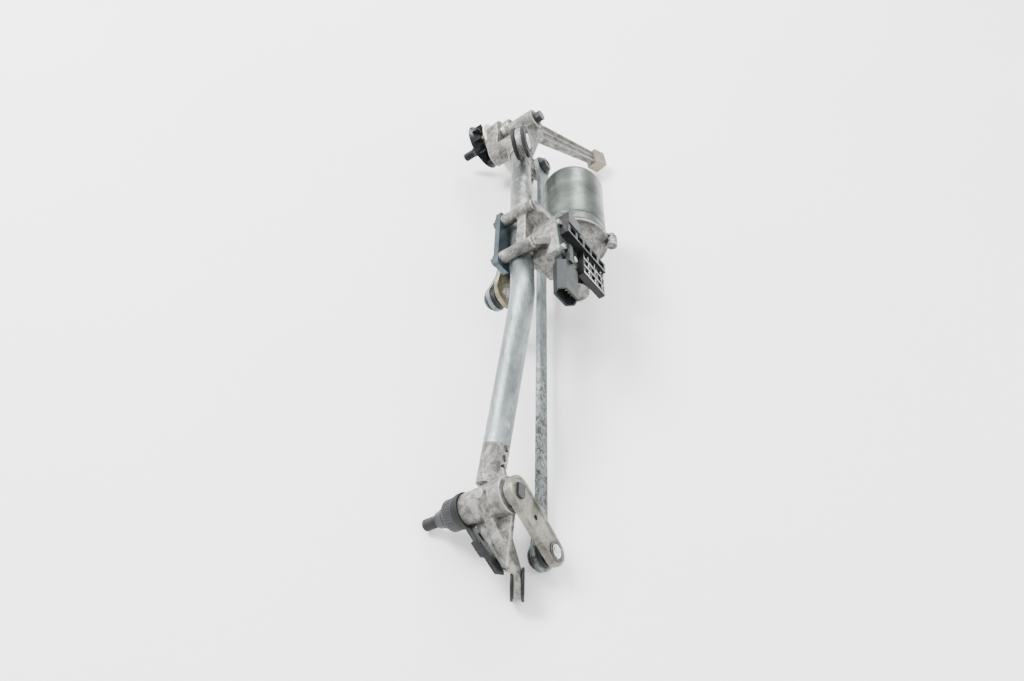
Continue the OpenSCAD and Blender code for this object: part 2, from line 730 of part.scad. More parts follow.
armature_d = can_d - 2 * can_wall - 14;
module armature_shaft() lay_down() color("#c2c4c4") {
    at_motor(can_y + 6) cylinder(d = 8, h = can_len - 16, $fn = smooth);
    at_motor(crank_y - 22) cylinder(d = 6, h = can_y + 6.5 - crank_y + 22, $fn = smooth);
    // worm thread as a plain rolled body with rings
    at_motor(crank_y - 15) {
        cylinder(d = worm_d, h = 30, $fn = smooth);
        for (k = [0:8]) translate([0, 0, 1 + 3.2 * k]) cylinder(d = worm_d + 0.7, h = 1.4, $fn = smooth);
    }
}
module armature_core() lay_down() color("#9a6a3a") at_motor(can_y + 24)
    difference() {
        cylinder(d = armature_d, h = 46, $fn = smooth);
        translate([0, 0, -eps]) cylinder(d = 8, h = 47, $fn = smooth);
        for (k = [0:11]) rotate([0, 0, 30 * k]) translate([armature_d / 2 - 5, -1.2, -eps])
            cube([6, 2.4, 47]);
    }
module commutator() lay_down() color("#b87333") at_motor(can_y + 9)
    ring(0, 15, 22, 8);
module end_bearing() lay_down() color("#7c7a72") at_motor(can_end_y - 16)
    ring(0, 10, 20, 8 + 2 * run_gap);
module drive_end_bearing() lay_down() color("#9c9a92") at_motor(can_y - 4)
    ring(0, 4, 44, 6 + 2 * run_gap);
module brush_plate() lay_down() color("#2b2b2a") at_motor(can_y) ring(0, 9, 54, 27);
module brushes() lay_down() color("#33322f") at_motor(can_y + 9)
    for (a = [0, 120, 240]) rotate([0, 0, a]) translate([11.4, -3, 0]) cube([11, 6, 8]);

// --------------------------------------------------------- output and crank

module worm_wheel() lay_down() color("#d8d2bf") at_crank() difference() {
    union() {
        translate([0, 0, wheel_z - 6]) cylinder(d = wheel_d - 3, h = 12, $fn = smooth);
        for (k = [0:35]) rotate([0, 0, 10 * k]) translate([wheel_d / 2 - 2, -0.9, wheel_z - 5])
            cube([1.4, 1.8, 10]);
    }
    translate([0, 0, wheel_z - 7]) cylinder(d = shaft_d, h = 20, $fn = smooth);
    translate([0, 0, wheel_z + 2]) ring(0, 5, 34, 18);
    translate([0, 0, wheel_z - 7]) ring(0, 5, 34, 18);
}
module output_shaft() lay_down() color("#b7b9b9") at_crank() {
    translate([0, 0, wheel_z - 10])
        cylinder(d = shaft_d, h = crank_top + crank_nut_t - wheel_z + 10, $fn = smooth);
}
module output_bushes() lay_down() color("#8d7a55") at_crank()
    for (z = [gear_top - 8, crank_plate_z - 2 - bush_len])
        ring(z, bush_len, out_bush_d, shaft_d + 2 * run_gap);

module crank_arm() lay_down() color("#c9c2a8") at_crank() rotate([0, 0, drive_turn + 180])
    difference() {
        union() {
            translate([0, 0, crank_plate_z]) linear_extrude(crank_plate_t)
                taper_outline(28, 30, crank_r);
            translate([0, 0, crank_plate_z - 1]) cylinder(d = 20, h = 1.5, $fn = smooth);
        }
        translate([0, 0, crank_plate_z - 2]) cylinder(d = shaft_d, h = 8, $fn = smooth);
        translate([0, crank_r, crank_plate_z - 1]) cylinder(d = stud_d, h = 8, $fn = smooth);
    }
module crank_nut() lay_down() color("#9a9c9b") at_crank()
    translate([0, 0, crank_plate_z + crank_plate_t]) difference() {
        cylinder(d = 17, h = crank_nut_t, $fn = 6);
        translate([0, 0, -eps]) cylinder(d = shaft_d, h = 6, $fn = smooth);
    }
// Stud riveted in the crank plate, with its head below and its flange above
module crank_stud() lay_down() color("#d0cfc8")
    translate([crank_ball[0], crank_ball[1], crank_plate_z]) {
        translate([0, 0, -1.2]) cylinder(d = stud_d + 3, h = 1.2, $fn = smooth);
        cylinder(d = stud_d, h = ball_stem_low - stud_gap - crank_plate_z, $fn = smooth);
        translate([0, 0, crank_plate_t]) cylinder(d = 16, h = 1.5, $fn = smooth);
    }

// Ball at the crank: its short stem runs just clear of the crank's stud.
module crank_ball() lay_down() color("#d0cfc8")
    translate([crank_ball[0], crank_ball[1], 0]) {
        translate([0, 0, ball_stem_low]) cylinder(d = stud_d, h = 2, $fn = smooth);
        translate([0, 0, drive_z]) sphere(d = ball_d, $fn = smooth);
    }

// ---------------------------------------------------------- connecting rods

socket_od = 20;
socket_open = 5.5;      // from the ball's centre to the open end of its cup
socket_top = 8.5;       // from the ball's centre to the closed end
eye_od = 24;

// Moulded cup that snaps over a ball. It opens along +Z or -Z, by the sign of
// open_dir, and leaves a gap around the ball.
module socket_cup(z, open_dir, gap = 0.4) {
    translate([0, 0, z]) mirror([0, 0, open_dir < 0 ? 0 : 1]) difference() {
        union() {
            translate([0, 0, -socket_open])
                cylinder(d = socket_od, h = socket_open + 4, $fn = smooth);
            translate([0, 0, 4])
                cylinder(d1 = socket_od, d2 = 14, h = socket_top - 4, $fn = smooth);
            translate([0, 0, 2.7]) cylinder(d = socket_od + 2, h = 1.4, $fn = smooth);
        }
        sphere(d = ball_d + 2 * gap, $fn = smooth);
        translate([0, 0, -socket_open - eps])
            cylinder(d = ball_d - 0.6, h = socket_open + eps, $fn = smooth);
    }
}

// Pressed steel rod of shallow channel section, which widens to an eye at each end.
module rod(a, b, z, t) {
    run = b - a;
    len = norm(run);
    taper = 34;
    translate([a[0], a[1], z - t / 2]) rotate([0, 0, atan2(run[1], run[0])]) difference() {
        linear_extrude(t) {
            polygon([[0, -eye_od / 2], [taper, -rod_w / 2], [len - taper, -rod_w / 2],
                     [len, -eye_od / 2], [len, eye_od / 2], [len - taper, rod_w / 2],
                     [taper, rod_w / 2], [0, eye_od / 2]]);
            for (x = [0, len]) translate([x, 0]) circle(d = eye_od, $fn = smooth);
        }
        translate([taper, -rod_w / 2 + 2, t - 1.2]) cube([len - 2 * taper, rod_w - 4, 3]);
        for (s = [0, 1]) translate([s * len, 0, -eps])
            cylinder(d = socket_od, h = t + 2 * eps, $fn = smooth);
    }
}

drive_end = [ball_x, pivot_gap + ball_y];
module drive_rod() lay_down() color("#8f979a") rod(crank_ball, drive_end, drive_z, 4);
module drive_rod_sockets() lay_down() color("#43464a") {
    translate([crank_ball[0], crank_ball[1], 0]) socket_cup(drive_z, -1, 0);
    translate([drive_end[0], drive_end[1], 0]) socket_cup(drive_z, -1);
}
couple_low = [ball_x, ball_y];
module coupling_rod() lay_down() color("#8e9693") rod(couple_low, drive_end, couple_z, 5);
module coupling_rod_sockets() lay_down() color("#26282a") {
    translate([couple_low[0], couple_low[1], 0]) socket_cup(couple_z, -1);
    translate([drive_end[0], drive_end[1], 0]) socket_cup(couple_z, 1);
}

// --------------------------------------------------------------- electrics

plug = [24, 36, 12];
plug_depth = 26;        // depth of the shroud's cavity
plug_neck = [16, 10, 8];
plug_place = [0, 178, gear_base + 2.5];
frame_z = gear_base - 2;

// Six-sided section of the plug's shroud
module plug_section(w, h) {
    c = h * 0.3;
    polygon([[-w / 2, 0], [-w / 2 + c, -h / 2], [w / 2 - c, -h / 2],
             [w / 2, 0], [w / 2 - c, h / 2], [-w / 2 + c, h / 2]]);
}
module connector_shroud() lay_down() color("#3a3e40")
    translate(plug_place) {
        rotate([-90, 0, 0]) difference() {
            linear_extrude(plug[1]) plug_section(plug[0] + 3, plug[2] + 2);
            translate([0, 0, -eps]) linear_extrude(plug_depth + eps)
                plug_section(plug[0] - 1, plug[2] - 2);
        }
        // neck that joins the shroud to the gear case
        translate([-plug_neck[0] / 2, plug[1] - eps, -2]) cube(plug_neck + [0, eps, 0]);
    }
module connector_pins() lay_down() color("#c9b26a")
    translate(plug_place) for (k = [-2:2])
        translate([4 * k - 0.4, 8, -0.8]) cube([0.8, plug_depth - 8, 1.6]);

// Moulded carrier for the motor's wiring, with open pockets
module contact_frame() lay_down() color("#1e2022")
    translate([-50, 214, frame_z]) mirror([0, 0, 1]) difference() {
        union() {
            translate([0, 30, 0]) cube([64, 12, 9]);
            cube([36, 30.5, 6.5]);
        }
        for (i = [0:2], j = [0:2]) translate([3 + 11 * i, 3 + 9.2 * j, 2])
            cube([8, 6.5, 8]);
        for (i = [0:4]) translate([3 + 12.2 * i, 32.5, 3]) cube([9, 7, 8]);
    }
module motor_plug() lay_down() color("#26292b")
    translate([-6, 256, frame_z - 10]) difference() {
        cube([20, 14, 10]);
        translate([3, -1, 3]) cube([14, 10, 5]);
    }
module lead_strip() lay_down() color("#222426")
    translate([1, plug_place[1] + plug[1], frame_z - 5]) cube([5.5, 22, 5]);

main_tube();
upper_pivot_housing();
lower_pivot_housing();
upper_spindle();
lower_spindle();
upper_lever();
lower_lever();
upper_lever_balls();
lower_lever_ball();
upper_bushes();
lower_bushes();
upper_circlip();
lower_circlip();
upper_thrust_washer();
lower_thrust_washer();
upper_splash_cap();
upper_gasket();
lower_seal();
lower_ring_nut();
lower_collar();
upper_mount_grommet();
upper_mount_sleeve();
lower_mount_grommet();
lower_mount_sleeve();
rear_boss_bolt();
locating_arm_cap();
lower_clip_bracket();
clamp_plate();
clamp_screws();
gearbox_housing();
gearbox_cover();
cover_screws();
motor_can();
can_screws();
magnets();
armature_shaft();
armature_core();
commutator();
end_bearing();
drive_end_bearing();
brush_plate();
brushes();
worm_wheel();
output_shaft();
output_bushes();
crank_arm();
crank_nut();
crank_stud();
crank_ball();
drive_rod();
drive_rod_sockets();
coupling_rod();
coupling_rod_sockets();
contact_frame();
connector_shroud();
connector_pins();
motor_plug();
lead_strip();
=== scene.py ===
import json
import math

import bpy
import numpy as np
from mathutils import Matrix, Vector


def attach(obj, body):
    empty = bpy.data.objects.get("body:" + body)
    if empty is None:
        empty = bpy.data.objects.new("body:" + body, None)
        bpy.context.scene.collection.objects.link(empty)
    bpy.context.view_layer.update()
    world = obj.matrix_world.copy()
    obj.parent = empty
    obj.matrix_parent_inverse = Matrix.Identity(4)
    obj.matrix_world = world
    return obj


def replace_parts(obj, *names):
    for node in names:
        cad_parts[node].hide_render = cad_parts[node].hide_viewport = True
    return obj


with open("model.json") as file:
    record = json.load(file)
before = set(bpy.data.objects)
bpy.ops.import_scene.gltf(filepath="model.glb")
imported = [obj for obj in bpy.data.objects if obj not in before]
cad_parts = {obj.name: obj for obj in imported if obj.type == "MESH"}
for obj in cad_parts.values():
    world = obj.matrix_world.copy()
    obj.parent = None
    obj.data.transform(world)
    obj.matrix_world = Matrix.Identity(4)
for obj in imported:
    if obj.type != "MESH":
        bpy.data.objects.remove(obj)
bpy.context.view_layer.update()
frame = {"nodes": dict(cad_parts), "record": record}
nodes = frame["nodes"]

# The mechanism frame, as in the CAD source: x up and away from the bench, y from
# the lower pivot to the upper one, z along the spindles. In millimetres.
LEAN = math.radians(36.5)
RAISE = math.radians(1.5)
CENTRE = (-11.37, -231.0)
TIP_Z = 90.5
TIP_R = 5.0
PIVOT_GAP = 497.0
EDGE_DROP = math.hypot(math.cos(LEAN) * math.cos(RAISE), math.sin(RAISE))
REST_H = TIP_Z * math.sin(LEAN) * math.cos(RAISE) + TIP_R * EDGE_DROP
TURN = Matrix.Rotation(RAISE, 3, "X") @ Matrix.Rotation(-(math.pi / 2 + LEAN), 3, "Y")
SHIFT = Vector((CENTRE[0], CENTRE[1], REST_H))


def place(p):
    """A mechanism point in millimetres as a row point in metres."""
    return (TURN @ Vector(p) + SHIFT) / 1000


def place_all(points):
    turn = np.array(TURN)
    return (np.asarray(points, float) @ turn.T + np.array(SHIFT)) / 1000


# ------------------------------------------------------------------ camera
# A photographer stands at the lower end and looks down and along the linkage.
CAM_AT = (-0.0080, -0.5604, 0.5646)
CAM_TILT = 43.73
CAM_ROLL = -0.14
CAM_HEADING = 1.48
SENSOR = 36.0
LENS = 28.125


def make_camera():
    cam = bpy.data.cameras.new("camera")
    cam.lens = LENS
    cam.sensor_width = SENSOR
    cam.clip_start = 0.01
    cam.clip_end = 50.0
    obj = bpy.data.objects.new("camera", cam)
    bpy.context.scene.collection.objects.link(obj)
    obj.location = CAM_AT
    obj.rotation_euler = [math.radians(a) for a in (CAM_TILT, CAM_ROLL, CAM_HEADING)]
    bpy.context.scene.camera = obj


# --------------------------------------------------------------- materials
class Shader:
    """A material made of nodes around one Principled shader."""

    def __init__(self, name, metallic=0.0, rough=0.5, specular=0.5):
        self.mat = bpy.data.materials.new(name)
        self.mat.use_nodes = True
        self.tree = self.mat.node_tree
        self.nodes = self.tree.nodes
        self.links = self.tree.links
        self.bsdf = self.nodes["Principled BSDF"]
        self.bsdf.inputs["Metallic"].default_value = metallic
        self.bsdf.inputs["Roughness"].default_value = rough
        self.bsdf.inputs["Base Color"].default_value = (0.5, 0.5, 0.5, 1)
        self.bsdf.inputs["Specular IOR Level"].default_value = specular
        self.coord = self.nodes.new("ShaderNodeTexCoord").outputs["Object"]
        self.height = None
        self.colour = None
        self.rough = None

    def mapped(self, scale):
        node = self.nodes.new("ShaderNodeMapping")
        node.inputs["Scale"].default_value = scale
        self.links.new(self.coord, node.inputs["Vector"])
        return node.outputs["Vector"]

    def noise(self, scale, detail=4.0, rough=0.6, distort=0.0, stretch=None):
        node = self.nodes.new("ShaderNodeTexNoise")
        node.inputs["Scale"].default_value = scale
        node.inputs["Detail"].default_value = detail
        node.inputs["Roughness"].default_value = rough
        node.inputs["Distortion"].default_value = distort
        vec = self.mapped(stretch) if stretch else self.coord
        self.links.new(vec, node.inputs["Vector"])
        return node.outputs["Fac"]

    def pointy(self):
        return self.nodes.new("ShaderNodeNewGeometry").outputs["Pointiness"]

    def span(self, value, low, high, out_low=0.0, out_high=1.0):
        node = self.nodes.new("ShaderNodeMapRange")
        node.inputs["From Min"].default_value = low
        node.inputs["From Max"].default_value = high
        node.inputs["To Min"].default_value = out_low
        node.inputs["To Max"].default_value = out_high
        node.interpolation_type = "SMOOTHSTEP"
        self.links.new(value, node.inputs["Value"])
        return node.outputs["Result"]

    def math(self, kind, a, b):
        node = self.nodes.new("ShaderNodeMath")
        node.operation = kind
        for i, value in enumerate((a, b)):
            if isinstance(value, (int, float)):
                node.inputs[i].default_value = value
            else:
                self.links.new(value, node.inputs[i])
        return node.outputs["Value"]

    def ramp(self, value, stops):
        node = self.nodes.new("ShaderNodeValToRGB")
        ramp = node.color_ramp
        ramp.elements[0].position = stops[0][0]
        ramp.elements[0].color = (*stops[0][1], 1)
        ramp.elements[1].position = stops[-1][0]
        ramp.elements[1].color = (*stops[-1][1], 1)
        for pos, col in stops[1:-1]:
            ramp.elements.new(pos).color = (*col, 1)
        self.links.new(value, node.inputs["Fac"])
        self.colour = node.outputs["Color"]
        return self

    def layer(self, mask, colour):
        """Lays colour over what is there, where mask is 1."""
        node = self.nodes.new("ShaderNodeMix")
        node.data_type = "RGBA"
        self.links.new(mask, node.inputs["Factor"])
        self.links.new(self.colour, node.inputs["A"])
        node.inputs["B"].default_value = (*colour, 1)
        self.colour = node.outputs["Result"]
        return self

    def roughness(self, value, low, high):
        self.rough = self.span(value, 0.3, 0.7, low, high)
        return self

    def bump(self, value, depth):
        """Adds relief of that depth in metres."""
        part = self.math("MULTIPLY", value, depth)
        self.height = part if self.height is None else self.math("ADD", self.height, part)
        return self

    def done(self):
        if self.colour is not None:
            self.links.new(self.colour, self.bsdf.inputs["Base Color"])
        if self.rough is not None:
            self.links.new(self.rough, self.bsdf.inputs["Roughness"])
        if self.height is not None:
            node = self.nodes.new("ShaderNodeBump")
            node.inputs["Strength"].default_value = 1.0
            node.inputs["Distance"].default_value = 1.0
            self.links.new(self.height, node.inputs["Height"])
            self.links.new(node.outputs["Normal"], self.bsdf.inputs["Normal"])
        return self.mat


def cast_alloy(name, light, dark, stain=(0.045, 0.036, 0.024)):
    s = Shader(name, metallic=0.65, rough=0.45)
    blotch = s.noise(38, 8, 0.72, 0.8)
    s.ramp(blotch, [(0.32, dark), (0.50, light), (0.66, tuple(min(1, 1.7 * v) for v in light))])
    cast = s.noise(150, 6, 0.7, 0.6)
    s.layer(s.span(cast, 0.46, 0.60, 0, 0.7), dark)
    speck = s.noise(420, 5, 0.75)
    s.layer(s.span(speck, 0.56, 0.68, 0, 0.7), stain)
    grime = s.noise(24, 7, 0.75, 1.4)
    s.layer(s.span(grime, 0.53, 0.66, 0, 0.75), stain)
    painted_light_curvature = s.pointy()
    # Painted shade: the hollows and creases, where pointiness is low, are darkened towards near
    # black.
    s.layer(s.span(painted_light_curvature, 0.44, 0.497, 0.95, 0), tuple(0.25 * v for v in dark))
    # Painted highlight: the sharp edges and ribs, where pointiness is high, are lightened to a pale
    # grey.
    s.layer(s.span(painted_light_curvature, 0.510, 0.55, 0, 0.55), (0.50, 0.495, 0.475))
    s.roughness(blotch, 0.60, 0.32)
    s.bump(cast, 0.0010)
    s.bump(speck, 0.00035)
    s.bump(blotch, 0.0010)
    return s.done()


def zinc(name, light, dark, stain=(0.10, 0.085, 0.06), amount=0.5, rough=(0.32, 0.5),
         streak=(1, 1, 1), metallic=0.8):
    s = Shader(name, metallic=metallic, rough=rough[0], specular=0.3)
    base = s.noise(26, 6, 0.65, 0.4, streak)
    s.ramp(base, [(0.32, dark), (0.50, light), (0.68, tuple(min(1, 1.6 * v) for v in light))])
    fine = s.noise(900, 3, 0.6, 0, streak)
    s.layer(s.span(fine, 0.55, 0.75, 0, 0.25), tuple(0.6 * v for v in dark))
    grime = s.noise(17, 7, 0.72, 1.0)
    s.layer(s.span(grime, 0.55, 0.68, 0, amount), stain)
    speck = s.noise(330, 4, 0.7)
    s.layer(s.span(speck, 0.62, 0.72, 0, amount), stain)
    s.roughness(grime, rough[0], rough[1])
    s.bump(fine, 0.00010)
    s.bump(grime, 0.0004)
    return s.done()


def plastic(name, colour, rough=(0.38, 0.6), dust=(0.34, 0.33, 0.31), amount=0.25,
            grain=0.00008):
    s = Shader(name, rough=rough[0], specular=0.22)
    tone = s.noise(60, 5, 0.6)
    s.ramp(tone, [(0.3, tuple(0.75 * v for v in colour)), (0.7, tuple(1.25 * v for v in colour))])
    film = s.noise(30, 7, 0.75, 0.8)
    s.layer(s.span(film, 0.50, 0.72, 0, amount), dust)
    s.roughness(film, rough[0], rough[1])
    s.bump(s.noise(1500, 2, 0.5), grain)
    s.bump(film, 0.0002)
    return s.done()


def tube_finish():
    s = Shader("tube_finish", metallic=0.8, rough=0.3)
    long = (1.0, 0.12, 1.0)
    base = s.noise(60, 7, 0.7, 0.3, long)
    s.ramp(base, [(0.28, (0.07, 0.085, 0.088)), (0.5, (0.18, 0.21, 0.212)),
                  (0.74, (0.36, 0.395, 0.39))])
    along = s.nodes.new("ShaderNodeSeparateXYZ")
    s.links.new(s.coord, along.inputs["Vector"])
    upper = s.span(along.outputs["Y"], -0.03, 0.06)
    mottle = s.noise(130, 7, 0.75, 1.0)
    s.layer(s.math("MULTIPLY", upper, s.span(mottle, 0.40, 0.58, 0, 0.9)),
            (0.085, 0.082, 0.07))
    s.layer(s.math("MULTIPLY", upper, s.span(s.noise(48, 6, 0.7, 0.8), 0.50, 0.64, 0, 0.8)),
            (0.30, 0.305, 0.28))
    scuff = s.noise(45, 8, 0.8, 2.0, (1.0, 0.35, 1.0))
    s.layer(s.span(scuff, 0.57, 0.66, 0, 0.8), (0.05, 0.047, 0.038))
    s.layer(s.span(s.noise(420, 4, 0.75), 0.58, 0.70, 0, 0.7), (0.06, 0.055, 0.043))
    s.roughness(scuff, 0.24, 0.5)
    s.bump(scuff, 0.0006)
    s.bump(mottle, 0.0003)
    s.bump(s.noise(1400, 2, 0.5, 0, long), 0.00008)
    return s.done()


def rod_finish():
    s = Shader("rod_finish", metallic=0.75, rough=0.4)
    base = s.noise(70, 7, 0.75, 0.5, (1.0, 0.3, 1.0))
    s.ramp(base, [(0.3, (0.07, 0.085, 0.088)), (0.5, (0.16, 0.19, 0.193)),
                  (0.72, (0.31, 0.345, 0.35))])
    along = s.nodes.new("ShaderNodeSeparateXYZ")
    s.links.new(s.coord, along.inputs["Vector"])
    lower = s.span(along.outputs["Y"], 0.0, -0.12)
    rust = s.noise(210, 7, 0.78, 0.8)
    s.layer(s.math("MULTIPLY", lower, s.span(rust, 0.44, 0.58, 0, 0.9)),
            (0.035, 0.028, 0.02))
    s.layer(s.span(s.noise(90, 6, 0.7, 1.5), 0.58, 0.70, 0, 0.7), (0.055, 0.042, 0.026))
    s.roughness(rust, 0.30, 0.6)
    s.bump(rust, 0.0009)
    return s.done()


def lever_finish():
    s = Shader("lever_finish", metallic=0.75, rough=0.4)
    base = s.noise(55, 7, 0.7, 0.8)
    s.ramp(base, [(0.28, (0.065, 0.063, 0.05)), (0.5, (0.19, 0.182, 0.155)),
                  (0.74, (0.37, 0.36, 0.31))])
    s.layer(s.span(s.noise(34, 8, 0.78, 1.4), 0.50, 0.63, 0, 0.75), (0.065, 0.052, 0.033))
    s.layer(s.span(s.noise(300, 5, 0.75), 0.56, 0.68, 0, 0.7), (0.04, 0.037, 0.03))
    s.roughness(base, 0.52, 0.30)
    s.bump(s.noise(400, 6, 0.75), 0.0005)
    return s.done()


MATS = {
    "tube_zinc": tube_finish(),
    "cast_alloy": cast_alloy("cast_finish", (0.20, 0.196, 0.182), (0.05, 0.049, 0.044)),
    "dark_steel": zinc("dark_steel_finish", (0.020, 0.0215, 0.023),
                       (0.008, 0.0085, 0.0095), amount=0.25,
                       stain=(0.05, 0.046, 0.038), rough=(0.26, 0.45), metallic=0.0),
    "lever_steel": lever_finish(),
    "bright_steel": zinc("bright_steel_finish", (0.42, 0.42, 0.40), (0.20, 0.20, 0.19), amount=0.35,
                         rough=(0.18, 0.34)),
    "sintered_bronze": zinc("bronze_finish", (0.50, 0.40, 0.24), (0.34, 0.26, 0.15), amount=0.4,
                            rough=(0.4, 0.6)),
    "black_rubber": plastic("rubber_finish", (0.009, 0.0095, 0.010), rough=(0.40, 0.7), amount=0.2,
                            dust=(0.13, 0.125, 0.115)),
    "cream_foam": plastic("foam_finish", (0.78, 0.74, 0.63), rough=(0.8, 0.95),
                          dust=(0.50, 0.45, 0.36), amount=0.5, grain=0.0003),
    "black_plastic": plastic("black_plastic_finish", (0.008, 0.009, 0.010), rough=(0.22, 0.45),
                             dust=(0.10, 0.097, 0.09), amount=0.22),
    "grey_plastic": plastic("grey_plastic_finish", (0.022, 0.025, 0.027), rough=(0.34, 0.55),
                            dust=(0.15, 0.15, 0.145), amount=0.18),
    "sleeve_zinc": zinc("sleeve_finish", (0.80, 0.81, 0.81), (0.62, 0.63, 0.64), amount=0.3,
                        rough=(0.25, 0.4)),
    "beige_plastic": plastic("beige_finish", (0.20, 0.175, 0.13), rough=(0.5, 0.7), amount=0.5,
                             dust=(0.24, 0.21, 0.17)),
    "clamp_zinc": zinc("clamp_finish", (0.06, 0.082, 0.095), (0.02, 0.028, 0.034), amount=0.4,
                       stain=(0.09, 0.08, 0.06)),
    "cover_zinc": zinc("cover_finish", (0.12, 0.145, 0.13), (0.05, 0.062, 0.054), amount=0.65,
                       stain=(0.07, 0.05, 0.03)),
    "can_zinc": zinc("can_finish", (0.075, 0.087, 0.078), (0.040, 0.047, 0.041), amount=0.75,
                     stain=(0.075, 0.052, 0.024), rough=(0.22, 0.48),
                     streak=(1.0, 2.0, 1.0)),
    "magnet_ferrite": plastic("magnet_finish", (0.10, 0.10, 0.095), rough=(0.5, 0.7)),
    "copper_winding": zinc("winding_finish", (0.45, 0.22, 0.10), (0.30, 0.14, 0.06),
                           rough=(0.3, 0.5)),
    "carbon": plastic("carbon_finish", (0.05, 0.05, 0.048), rough=(0.5, 0.7)),
    "wheel_nylon": plastic("nylon_finish", (0.74, 0.70, 0.58), rough=(0.4, 0.6), amount=0.3),
    "crank_steel": zinc("crank_finish", (0.20, 0.185, 0.12), (0.06, 0.055, 0.032), amount=0.8,
                        stain=(0.06, 0.055, 0.03), rough=(0.14, 0.4)),
    "rod_zinc": rod_finish(),
    "pin_brass": zinc("pin_finish", (0.30, 0.24, 0.11), (0.14, 0.11, 0.05), amount=0.3),
}
SLOT = {part["node"]: part["material_slot"] for part in frame["record"]["subparts"]}
BODY = {}
for body, members in frame["record"]["behaviour"]["bodies"].items():
    for member in members:
        BODY[member] = body


# ----------------------------------------------------------------- helpers
def paint(obj, mat):
    obj.data.materials.clear()
    obj.data.materials.append(mat)


def bevel(obj, width_mm, segments=3, angle=30):
    mod = obj.modifiers.new("bevel", "BEVEL")
    mod.width = width_mm / 1000
    mod.segments = segments
    mod.limit_method = "ANGLE"
    mod.angle_limit = math.radians(angle)
    mod.harden_normals = False
    mod.use_clamp_overlap = True


def add(name, verts, faces, mat, like, smooth=35):
    """A new piece in the mechanism frame. It rides as CAD node `like` does."""
    mesh = bpy.data.meshes.new(name)
    mesh.from_pydata([tuple(v) for v in place_all(verts)], [], [tuple(f) for f in faces])
    mesh.validate()
    mesh.shade_smooth()
    mesh.set_sharp_from_angle(angle=math.radians(smooth))
    obj = bpy.data.objects.new(name, mesh)
    bpy.context.scene.collection.objects.link(obj)
    obj.data.materials.append(mat)
    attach(obj, BODY[like])
    return obj


def axes_for(direction):
    w = np.asarray(direction, float)
    w = w / np.linalg.norm(w)
    u = np.cross(w, (0, 1, 0) if abs(w[1]) < 0.9 else (0, 0, 1))
    u = u / np.linalg.norm(u)
    return u, np.cross(w, u), w


def lathe_mesh(profile, at, direction, sides=96):
    """A closed (r, z) profile turned about a line, as a closed skin."""
    u, v, w = axes_for(direction)
    at = np.asarray(at, float)
    verts = []
    for r, z in profile:
        for k in range(sides):
            a = 2 * math.pi * k / sides
            verts.append(at + w * z + r * (math.cos(a) * u + math.sin(a) * v))
    count = len(profile)
    faces = []
    for i in range(count):
        j = (i + 1) % count
        for k in range(sides):
            n = (k + 1) % sides
            faces.append((i * sides + k, i * sides + n, j * sides + n, j * sides + k))
    return verts, faces


def rounded(points, radius=0.6, steps=4):
    """A closed outline with its corners rounded."""
    out = []
    count = len(points)
    for i in range(count):
        p = np.array(points[i], float)
        a = np.array(points[i - 1], float) - p
        b = np.array(points[(i + 1) % count], float) - p
        la, lb = np.linalg.norm(a), np.linalg.norm(b)
        if isinstance(radius, (int, float)):
            r = radius
        else:
            r = radius[i]
        r = min(r, 0.45 * la, 0.45 * lb)
        if r < 0.05:
            out.append(tuple(p))
            continue
        s, e = p + a / la * r, p + b / lb * r
        for k in range(steps + 1):
            t = k / steps
            out.append(tuple((1 - t) ** 2 * s + 2 * t * (1 - t) * p + t * t * e))
    return out


def lathe(name, outline, at, direction, mat, like, radius=0.6):
    verts, faces = lathe_mesh(rounded(outline, radius), at, direction)
    return add(name, verts, faces, mat, like, 40)


make_camera()

# ------------------------------------------------- carried-over CAD nodes
CAST = {"upper_pivot_housing": 0.7, "lower_pivot_housing": 0.7, "gearbox_housing": 0.8}
BEVELS = {
    "upper_lever": 0.7, "lower_lever": 0.7, "crank_arm": 0.7, "drive_rod": 0.6, "coupling_rod": 0.6,
    "upper_mount_sleeve": 0.4, "lower_mount_sleeve": 0.4, "locating_arm_cap": 1.0,
    "lower_clip_bracket": 0.6, "clamp_plate": 0.6, "clamp_screws": 0.4, "can_screws": 0.4,
    "cover_screws": 0.5, "gearbox_cover": 0.4, "contact_frame": 0.4, "connector_shroud": 0.5,
    "motor_plug": 0.6, "lead_strip": 0.6, "crank_nut": 0.4, "rear_boss_bolt": 0.4,
    "upper_splash_cap": 0.4, "upper_gasket": 0.3, "lower_ring_nut": 0.3, "lower_collar": 0.5,
    "upper_mount_grommet": 1.0, "lower_mount_grommet": 1.0, "lower_seal": 0.6,
    "upper_spindle": 0.4, "lower_spindle": 0.4,
}
for name, obj in nodes.items():
    paint(obj, MATS[SLOT[name]])
    if name in CAST:
        mod = obj.modifiers.new("skin", "REMESH")
        mod.mode = "VOXEL"
        mod.voxel_size = CAST[name] / 1000
        mod.use_smooth_shade = True
        mod = obj.modifiers.new("fillets", "SMOOTH")
        mod.factor = 0.5
        mod.iterations = 2
    elif name in BEVELS:
        bevel(obj, BEVELS[name])


# ------------------------------------------------------------ main tube
TUBE_LOW = np.array((5.0, 44.0, 18.0))
TUBE_MID = np.array((19.0, 180.0, -15.0))
TUBE_UP = np.array((0.0, 428.0, 7.0))
TUBE_R = 11.0
TUBE_WALL = 1.5
BEND_R = 90.0


def unit(v):
    return v / np.linalg.norm(v)


